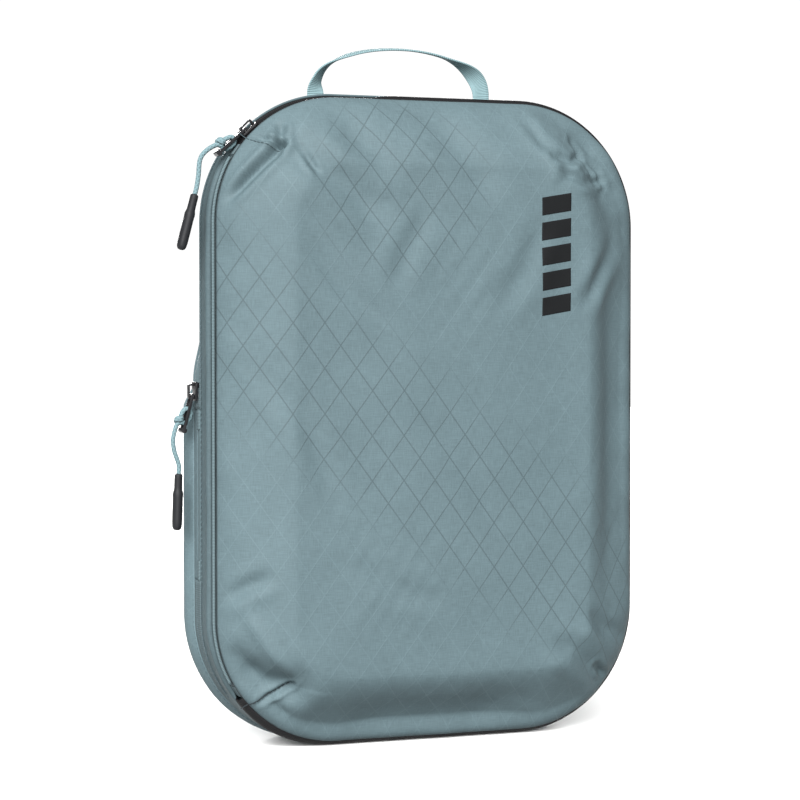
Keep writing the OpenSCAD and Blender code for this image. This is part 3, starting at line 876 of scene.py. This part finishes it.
def pinch(run, depth):  # the closed compression zip draws the upper left of the back inwards
    run = run % roundLength
    part = (smoothStep(run, runEnds[5] - 4 * mm, runEnds[5] + 34 * mm)
            * (1 - 0.45 * smoothStep(run, runOfLeftZ(0.232), runOfLeftZ(0.202))
               - 0.55 * smoothStep(run, runOfLeftZ(0.200), runOfLeftZ(0.186))))
    span = caseSize["rearSeam"] - pinchShape["start"]
    far = np.clip((depth - pinchShape["start"]) / span, 0, 1)
    # behind the slider's path the gusset is drawn in as well
    corner = smoothStep(run, runOfAngle(93), runOfAngle(112)) * (
        1 - smoothStep(run, runOfAngle(136), runOfAngle(150)))
    tucked = pinchShape["corner"] * corner * smoothStep(depth, *pinchShape["cornerDepths"])
    return pinchShape["most"] * part * far * (2 - far) + tucked


def ripple(run, seed, amount):  # the slack of cloth between its seams
    return amount * (np.sin(run * 71 + seed) * 0.5 + np.sin(run * 163 + seed * 2.3) * 0.3
                     + np.sin(run * 29 + seed * 1.7) * 0.6) * mm


def seamless(run):  # fades the slack where the strip's two ends meet
    return np.sin(np.clip((run % roundLength) / roundLength, 0, 1) * math.pi) ** 0.3


def onFloor(run):  # 1 along the flat bottom that the cube stands on
    run = run % roundLength
    return 1 - smoothStep(np.minimum(run, roundLength - run), arcX, arcX + 20 * mm)


def hingeSide(run):  # 1 beside the hinge, 0 along the main zip
    run = run % roundLength
    return smoothStep(run, zipTop - 3 * mm, zipTop + 5 * mm) * (
        1 - smoothStep(run, zipBottom - 5 * mm, zipBottom + 3 * mm))


gussetSize = {"depths": (9.2 * mm, 21.5 * mm), "tuckedIn": 0.2 * mm, "proud": 0.1 * mm, "hollow": 0.3 * mm,
              "slack": 0.35}


def gussetShape(run, t):
    begin = caseSize["mainZipEnd"] - gussetSize["tuckedIn"]
    depth = begin + (caseSize["compZipStart"] - begin) * t
    turned = smoothStep(t, 0, 0.15)  # by the hinge the strip stands up from the seam, then falls back
    inset = caseSize["seamInset"] * hingeSide(run) * (1 - turned) - gussetSize["proud"]
    inset = inset + (0.45 * t + 0.25) * turned * hingeSide(run) * mm
    inset = inset + gussetSize["hollow"] * np.sin(math.pi * np.clip(t, 0, 1)) ** 2
    slack = ripple(run, 1.0, gussetSize["slack"]) * np.sin(math.pi * t) * seamless(run) * (1 - onFloor(run))
    return inset + pinch(run, depth) + slack, depth


gusset = bandPiece("frontGusset", 0, roundLength, 420, gussetSize["depths"], gussetShape, 12,
                   caseSize["fabric"])
# the gusset's cloth is painted darker: painted shade
dress(gusset, "case", "shadedWallCloth", "shell_fabric", ["front_gusset"])


rearSize = {"depths": (32.2 * mm, 49 * mm), "bulge": 1.3 * mm, "lowerBulge": 1.6 * mm, "slack": 0.3}


def rearShape(run, t):
    depth = caseSize["compZipEnd"] + (caseSize["rearSeam"] - caseSize["compZipEnd"]) * t
    bulge = (rearSize["bulge"] + rearSize["lowerBulge"] * lowerLeft(run)) * np.sin(math.pi * t ** 1.15) ** 0.9
    slack = ripple(run, 3.0, rearSize["slack"]) * np.sin(math.pi * t) * seamless(run)
    return pinch(run, depth) + (slack - bulge) * (1 - onFloor(run)), depth


rear = bandPiece("rearBand", 0, roundLength, 420, rearSize["depths"], rearShape, 14, caseSize["fabric"])
# the rear band's cloth is painted lighter: painted light
dress(rear, "rear_shell", "litRearWallCloth", "shell_fabric", ["rear_band"])


plainSize = {"rear": (27.35 * mm, 32.3 * mm), "front": (21.4 * mm, 26.3 * mm), "sunk": 0.45 * mm,
             "hollow": 0.35 * mm}  # the unzipped stretch, where two plain strips meet


def plainRearShape(run, t):
    depth = plainSize["rear"][0] + (plainSize["rear"][1] - plainSize["rear"][0]) * t
    return pinch(run, depth) + plainSize["sunk"] * (1 - t), depth


plainRear = bandPiece("rearPlainStrip", plainTop, plainBottom, 60, (27.3 * mm, 32.2 * mm), plainRearShape, 5,
                      caseSize["fabric"])
dress(plainRear, "rear_shell", "wallCloth", "shell_fabric")


def plainShape(run, t):
    depth = plainSize["front"][0] + (plainSize["front"][1] - plainSize["front"][0]) * t
    return plainSize["sunk"] - plainSize["hollow"] * np.sin(math.pi * t), depth


plain = bandPiece("plainStrip", plainTop, plainBottom, 60, (21.5 * mm, 26.4 * mm), plainShape, 5,
                  caseSize["fabric"])
dress(plain, "case", "wallCloth", "shell_fabric", ["plain_strip"])


hingeSize = {"depths": (0.4 * mm, 9.2 * mm), "hollow": 0.3 * mm, "groove": (0.1 * mm, 1.3 * mm),
             "grooveProud": 0.15 * mm, "pipingInset": 0.95 * mm, "pipingDepth": 2.1 * mm,
             "pipingRadius": 0.85 * mm, "pipingAngles": (150, 210)}


def hingeShape(run, t):
    inset = caseSize["seamInset"] + hingeSize["hollow"] * np.sin(math.pi * t)
    return inset, hingeSize["depths"][0] + (hingeSize["depths"][1] - hingeSize["depths"][0]) * t


hingeStrip = bandPiece("hingeStrip", zipTop, zipBottom, 150, (0.0, 9.2 * mm), hingeShape, 7,
                       caseSize["fabric"])
dress(hingeStrip, "case", "shadedWallCloth", "shell_fabric", ["hinge_strip"])


def grooveShape(run, t):  # a near-black strip in the crease between the lid and its hinge: painted shadow
    depth = hingeSize["groove"][0] + (hingeSize["groove"][1] - hingeSize["groove"][0]) * t
    return caseSize["seamInset"] - hingeSize["grooveProud"], depth


groove = bandPiece("hingeGrooveShadow", zipTop, zipBottom, 150, (0.0, 1.3 * mm), grooveShape, 3, 0.5 * mm)
dress(groove, "case", "grooveShadowCloth", "trim_fabric")

pipingRun = np.linspace(*[runOfAngle(angle) for angle in hingeSize["pipingAngles"]], 160)
pipeX, pipeZ, outX, outZ = outline(pipingRun, caseSize["seamInset"] - hingeSize["pipingInset"])
pipeY = np.full_like(pipeX, caseSize["seamY"] + hingeSize["pipingDepth"])
piping = tubePiece("hingePiping", np.stack([pipeX, pipeY, pipeZ], axis=1), hingeSize["pipingRadius"], 12)
dress(piping, "case", "pipingCloth", "trim_fabric", ["hinge_piping"])


# back panel: a shallow cushion-like crown
backShape = {"crown": 5.6 * mm, "edgeWidth": 30 * mm, "middle": 1.0 * mm, "edgePart": 0.45,
             "swell": 0.5 * mm, "gather": 0.3 * mm, "gathers": 29}


def placeBack(s, t):
    run = s * roundLength
    part = np.clip(t / backShape["edgePart"], 0, 1)
    inset = backShape["edgeWidth"] * (1 - np.cos(part * math.pi / 2))
    inset = inset + pinch(run, caseSize["rearSeam"]) * (1 - part)
    ringX, ringZ, outX, outZ = outline(run, inset)
    pull = np.clip((t - backShape["edgePart"]) / (1 - backShape["edgePart"]), 0, 1)
    reach = caseSize["halfWidth"]
    x = ringX * (1 - pull)
    z = ringZ * (1 - pull) + np.clip(ringZ, reach, caseSize["height"] - reach) * pull
    far = backShape["crown"] * np.sin(part * math.pi / 2) + backShape["middle"] * smoothStep(pull, 0, 0.7)
    swell = backShape["swell"] * np.sin(x * 27 + z * 15 + 2.2) * np.sin(z * 21 - x * 12 + 1.4)
    swell = swell * smoothStep(t, 0.1, 0.5)
    gather = backShape["gather"] * np.sin(s * backShape["gathers"] * 2 * math.pi)
    gather = gather * np.sin(math.pi * np.clip(t / 0.3, 0, 1))
    return x, caseSize["seamY"] + caseSize["rearSeam"] + far + swell + gather, z


def uvBack(s, t):
    x, y, z = placeBack(s, t)
    return x, z


back = gridPiece("backPanel", 420, 50, placeBack, uvBack)
thicken(back, caseSize["fabric"])
dress(back, "rear_shell", "wallCloth", "shell_fabric", ["back_panel"])

seamPiping = {"radius": 0.7 * mm, "proud": 0.35 * mm, "floorInset": 1.0 * mm}
seamRun = np.linspace(0, roundLength, 421)
seamInset = pinch(seamRun, caseSize["rearSeam"]) - seamPiping["proud"]
seamX, seamZ, outX, outZ = outline(seamRun, seamInset + seamPiping["floorInset"] * onFloor(seamRun))
seamY = np.full_like(seamX, caseSize["seamY"] + caseSize["rearSeam"])
seamCord = tubePiece("rearSeamPiping", np.stack([seamX, seamY, seamZ], axis=1), seamPiping["radius"], 10,
                     ends=False)
dress(seamCord, "rear_shell", "wallCloth", "shell_fabric")
print("walls ready")


# expansion bellows: pleats folded behind the compression zip
bellowsShape = {"pleats": 3, "depths": (20.9 * mm, 33 * mm), "inset": 2.2 * mm, "pleatDepth": 5.5 * mm}


def placeBellows(run, t):
    wave = np.abs(((t * bellowsShape["pleats"]) % 1) - 0.5) * 2
    depth = bellowsShape["depths"][0] + (bellowsShape["depths"][1] - bellowsShape["depths"][0]) * t
    inset = bellowsShape["inset"] + bellowsShape["pleatDepth"] * (1 - wave) * smoothStep(t, 0.0, 0.05)
    return inset + pinch(run, depth), depth


bellows = bandPiece("expansionBellows", 0, roundLength, 300, (0.0, 0.05), placeBellows, 30, 0.3 * mm)
dress(bellows, None, "wallCloth", "shell_fabric", ["expansion_gusset"])
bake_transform(bellows)


# inner edge tapes, bound over the seams; d0 and d1 are the depths of a tape's two sides
def edgeTape(name, body, node, d0, d1, inset, material="edgeTape", slotName="binding"):
    def shape(run, t):
        depth = d0 + (d1 - d0) * t
        return inset + pinch(run, depth) - 0.25 * mm * np.sin(math.pi * t), depth

    piece = bandPiece(name, 0, roundLength, 300, (d0, d1), shape, 5, 0.9 * mm)
    return dress(piece, body, material, slotName, [node])


edgeTape("frontEdgeTape", "case", "front_binding", 9.4 * mm, 11.6 * mm, 4.3 * mm)
edgeTape("rearEdgeTape", "rear_shell", "rear_binding", 46.1 * mm, 48.9 * mm, 1.4 * mm)
edgeTape("lidEdgeTape", "lid", "lid_binding", -1.8 * mm, -0.6 * mm, 4.8 * mm)


# zips
proudShape = {"most": 2.3 * mm, "flattened": 1.95 * mm, "cornerMore": 1.4 * mm, "cornerAngle": 236,
              "floorLess": 0.14}


def proudZip(run):  # the main zip stands out from the seam, but lies flat where its slider runs
    run = run % roundLength
    flat = smoothStep(run, runEnds[5] - 36 * mm, runEnds[5] - 12 * mm) * (
        1 - smoothStep(run, zipBottom - 10 * mm, zipBottom + 2 * mm))
    more = proudShape["cornerMore"] * hump(run, runOfAngle(proudShape["cornerAngle"]), 30 * mm)
    proud = proudShape["most"] - proudShape["flattened"] * flat + more
    return proud * (1 - proudShape["floorLess"] * onFloor(run))


def tapeHalf(name, body, node, runFrom, runTo, sewn, chain, inset, material, slotName, proud=None,
             ridge=False):
    # from the sewn edge, slightly crowned, and turned in at the chain
    def shape(run, t):
        depth = sewn + (chain - sewn) * np.clip(t / 0.86, 0, 1)
        turned = smoothStep(t, 0.8, 1.0)
        bulge = proud(run) if proud else 0.35 * mm
        crown = bulge * np.sin(math.pi / 2 * np.clip(t / 0.75, 0, 1)) ** 0.8
        if ridge:  # the sewn edge stands up behind the slider's path
            raised = 1 - smoothStep(t, 0.02, 0.17)
            crown = crown * (1 - raised) + raised * (caseSize["seamInset"] + 0.15 * mm) * (1 - hingeSide(run))
        return inset + pinch(run, depth) - crown + 1.1 * mm * turned, depth

    piece = bandPiece(name, runFrom, runTo, 420, (sewn, chain), shape, 9, 0.55 * mm)
    return dress(piece, body, material, slotName, [node])


def coilHalf(name, body, node, runFrom, runTo, depth, inset, pitch=1.25 * mm, radius=0.30 * mm):
    turns = int((runTo - runFrom) / pitch)
    run = np.linspace(runFrom, runTo, turns * 7)
    phase = (run - runFrom) / pitch * 2 * math.pi
    x, z, outX, outZ = outline(run % roundLength, inset + pinch(run, depth) + 0.42 * mm * np.cos(phase))
    y = caseSize["seamY"] + depth + 0.55 * mm * np.sin(phase)
    piece = tubePiece(name, np.stack([x, y, z], axis=1), radius, 4)
    return dress(piece, body, "zipCoil", "zip_coil", [node])


mainChain = caseSize["mainZipEnd"] / 2
compChain = (caseSize["compZipStart"] + caseSize["compZipEnd"]) / 2
halfGap = 0.06 * mm
mainFrom, mainTo = zipBottom, zipTop + roundLength
compFrom, compTo = plainBottom, plainTop + roundLength
tapeHalf("mainTapeLid", "lid", "main_zip_tape_lid", mainFrom, mainTo, -0.2 * mm, mainChain - halfGap,
         caseSize["seamInset"] + 0.1 * mm, "zipTape", "zip_tape", proudZip)
tapeHalf("mainTapeCase", "case", "main_zip_tape_case", mainFrom, mainTo, caseSize["mainZipEnd"] + 0.3 * mm,
         mainChain + halfGap, caseSize["seamInset"] + 0.1 * mm, "zipTape", "zip_tape", proudZip, True)
tapeHalf("compTapeFront", "case", "comp_zip_tape_front", compFrom, compTo,
         caseSize["compZipStart"] - 0.1 * mm, compChain - halfGap, 0.1 * mm, "dyedTape", "comp_zip_tape")
tapeHalf("compTapeRear", "rear_shell", "comp_zip_tape_rear", compFrom, compTo,
         caseSize["compZipEnd"] + 0.1 * mm, compChain + halfGap, 0.1 * mm, "dyedTape", "comp_zip_tape")
coilInset = 1.75 * mm
coilAside = 1.25 * mm
coilShort = 3 * mm
coilHalf("mainCoilLid", "lid", "main_zip_coil_lid", mainFrom, mainTo, mainChain - coilAside,
         caseSize["seamInset"] + coilInset)
coilHalf("mainCoilCase", "case", "main_zip_coil_case", mainFrom + coilShort, mainTo - coilShort,
         mainChain + coilAside, caseSize["seamInset"] + coilInset)
coilHalf("compCoilFront", "case", "comp_zip_coil_front", compFrom + coilShort, compTo - coilShort,
         compChain - coilAside, coilInset)
coilHalf("compCoilRear", "rear_shell", "comp_zip_coil_rear", compFrom + coilShort, compTo - coilShort,
         compChain + coilAside, coilInset)
print("zips ready")

for node, bevel, body, material, slotName in (
        ("main_zip_stops", 0.25 * mm, "case", "zipCoil", "zip_coil"),
        ("comp_zip_stops", 0.25 * mm, "case", "zipCoil", "zip_coil"),
        ("main_slider", 0.28 * mm, "main_slider", "enamel", "slider"),
        ("comp_slider", 0.28 * mm, "comp_slider", "enamel", "slider"),
        ("main_bail", 0.25 * mm, "main_slider", "enamel", "slider"),
        ("comp_bail", 0.25 * mm, "comp_slider", "enamel", "slider"),
        ("main_puller", 0.3 * mm, "main_pull", "enamel", "slider"),
        ("comp_puller", 0.3 * mm, "comp_pull", "enamel", "slider")):
    words = node.split("_")
    pieceName = words[0] + "".join(word.title() for word in words[1:])
    dress(refinedCopy(node, pieceName, bevel), body, material, slotName, [node])


# small fabric tabs that cover the zips' ends
def tabPiece(name, body, runFrom, runTo, d0, d1, inset, nodes=()):
    def shape(run, t):
        edge = np.sin(math.pi * t) ** 0.5
        return inset - 0.35 * mm * edge, d0 + (d1 - d0) * t

    piece = bandPiece(name, runFrom, runTo, 24, (d0, d1), shape, 10, 0.5 * mm)
    return dress(piece, body, "pipingCloth", "trim_fabric", nodes)


tabRun = 5.5 / 90 * quarter
tabSets = [
    ("mainTabs", zipTop + 0.6 * mm, zipTop + 0.6 * mm + tabRun, 0.001, 0.0086, caseSize["seamInset"]),
    ("mainTabs", zipBottom - 0.6 * mm - tabRun, zipBottom - 0.6 * mm, 0.001, 0.0086, caseSize["seamInset"]),
    ("compTabs", plainTop, plainTop + 11 * mm, 0.0221, 0.0260, -0.1 * mm),
    ("compTabs", plainBottom - 11 * mm, plainBottom, 0.0221, 0.0260, -0.1 * mm),
]
for group, nodes in (("mainTabs", ["main_zip_end_tabs"]), ("compTabs", ["comp_zip_end_tabs"])):
    made = []
    for name, runFrom, runTo, d0, d1, inset in tabSets:
        if name == group:
            made.append(tabPiece(name + str(len(made)), "case", runFrom, runTo, d0, d1, inset,
                                 nodes if not made else ()))


# carry handle
handleLow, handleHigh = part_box("handle_strap")
handleShape = {"span": 102 * mm, "width": 10 * mm, "thickness": 1.3 * mm, "rise": 30.5 * mm, "tack": 0.8 * mm,
               "turn": math.radians(98), "clothLength": 168 * mm, "clothRound": 22 * mm}
handleY = (handleLow.y + handleHigh.y) / 2
handleBase = caseSize["height"] + handleShape["tack"] + handleShape["thickness"] / 2 + 0.2 * mm


def handleLine(a):  # a runs from nought at the left end to pi at the right
    x = -handleShape["span"] / 2 * (np.cos(a) + 0.04 * np.sin(2 * a))
    rise = caseSize["height"] + handleShape["rise"] - handleBase
    z = handleBase + rise * np.maximum(np.sin(a), 0) ** 0.85
    return x, z


def placeHandle(s, t):
    a = s * math.pi
    x, z = handleLine(a)
    x2, z2 = handleLine(np.clip(a + 0.02, 0, math.pi))
    x1, z1 = handleLine(np.clip(a - 0.02, 0, math.pi))
    size = np.maximum(np.hypot(x2 - x1, z2 - z1), 1e-9)
    wayX, wayZ = (x2 - x1) / size, (z2 - z1) / size
    lean = np.where(s < 0.5, 0.4 * smoothStep(s, 0, 0.1) + 0.6 * smoothStep(s, 0.05, 0.32),
                    smoothStep(1 - s, 0.01, 0.34))
    lean = lean * handleShape["turn"]
    sideX, sideY, sideZ = wayZ * np.cos(lean), np.sin(lean), -wayX * np.cos(lean)
    faceX, faceY, faceZ = -wayZ * np.sin(lean), np.cos(lean), wayX * np.sin(lean)
    angle = t * 2 * math.pi
    across = np.sign(np.cos(angle)) * np.abs(np.cos(angle)) ** 0.35 * handleShape["width"] / 2
    out = np.sign(np.sin(angle)) * np.abs(np.sin(angle)) ** 0.5 * handleShape["thickness"] / 2
    return (x + sideX * across + faceX * out, handleY + sideY * across + faceY * out,
            z + sideZ * across + faceZ * out)


def uvHandle(s, t):
    return s * handleShape["clothLength"], t * handleShape["clothRound"]


handle = gridPiece("handleStrap", 180, 28, placeHandle, uvHandle)
dress(handle, "handle", "webbing", "webbing", ["handle_strap"])
tacks = refinedCopy("handle_tacks", "handleTacks", 0.3 * mm)
dress(tacks, "rear_shell", "webbing", "webbing", ["handle_tacks"])
print("handle ready")

# top stitching
for name, body, inset, depth in (
        ("gussetRearStitch", "case", 0.3 * mm, 20.3 * mm),
        ("rearFrontStitch", "rear_shell", -0.15 * mm, 33.4 * mm)):
    dress(bandStitches(name, 1 * mm, roundLength - 1 * mm, inset, depth), body, "thread", "shell_fabric")
print("stitches ready")

# floor, light and surroundings
floorLook = {"size": 8.0, "place": (0, 1.5, -0.0002), "colour": (0.9, 0.9, 0.89, 1), "roughness": 0.9}
airLook = {"base": 0.26, "seenMore": 0.8}  # how bright the air is, and how much more the camera sees
clearSelection()
bpy.ops.mesh.primitive_plane_add(size=floorLook["size"], location=floorLook["place"])
floor = bpy.context.object
floor.name = "studioFloor"
start, finish = startMaterial("floorPaint", {"Base Color": floorLook["colour"],
                                             "Roughness": floorLook["roughness"]})
floor.data.materials.append(finish())
floor.visible_diffuse = False

lights = [
    # name, strength, softness in degrees, direction it comes from
    ("keySun", 9.8, 52, (-0.49, -0.84, 0.57)),
    ("backSun", 5.2, 25, (0.24, 0.94, 0.16)),
]
for name, energy, softness, direction in lights:
    bpy.ops.object.light_add(type="SUN", location=(0, 0, 1))
    light = bpy.context.object
    light.name = name
    light.data.energy = energy
    light.data.angle = math.radians(softness)
    light.rotation_euler = Vector(direction).to_track_quat("Z", "Y").to_euler()

world = bpy.data.worlds.new("studioAir")
world.use_nodes = True
bpy.context.scene.world = world
air = Wire(world.node_tree)
background = world.node_tree.nodes["Background"]
seen = air.node("ShaderNodeLightPath", None, None, "Is Camera Ray")
strength = seen * airLook["seenMore"] + airLook["base"]
world.node_tree.links.new(strength.socket, background.inputs["Strength"])
background.inputs["Color"].default_value = (1, 1, 1, 1)
bpy.context.scene.view_settings.view_transform = "Standard"
print("light ready")
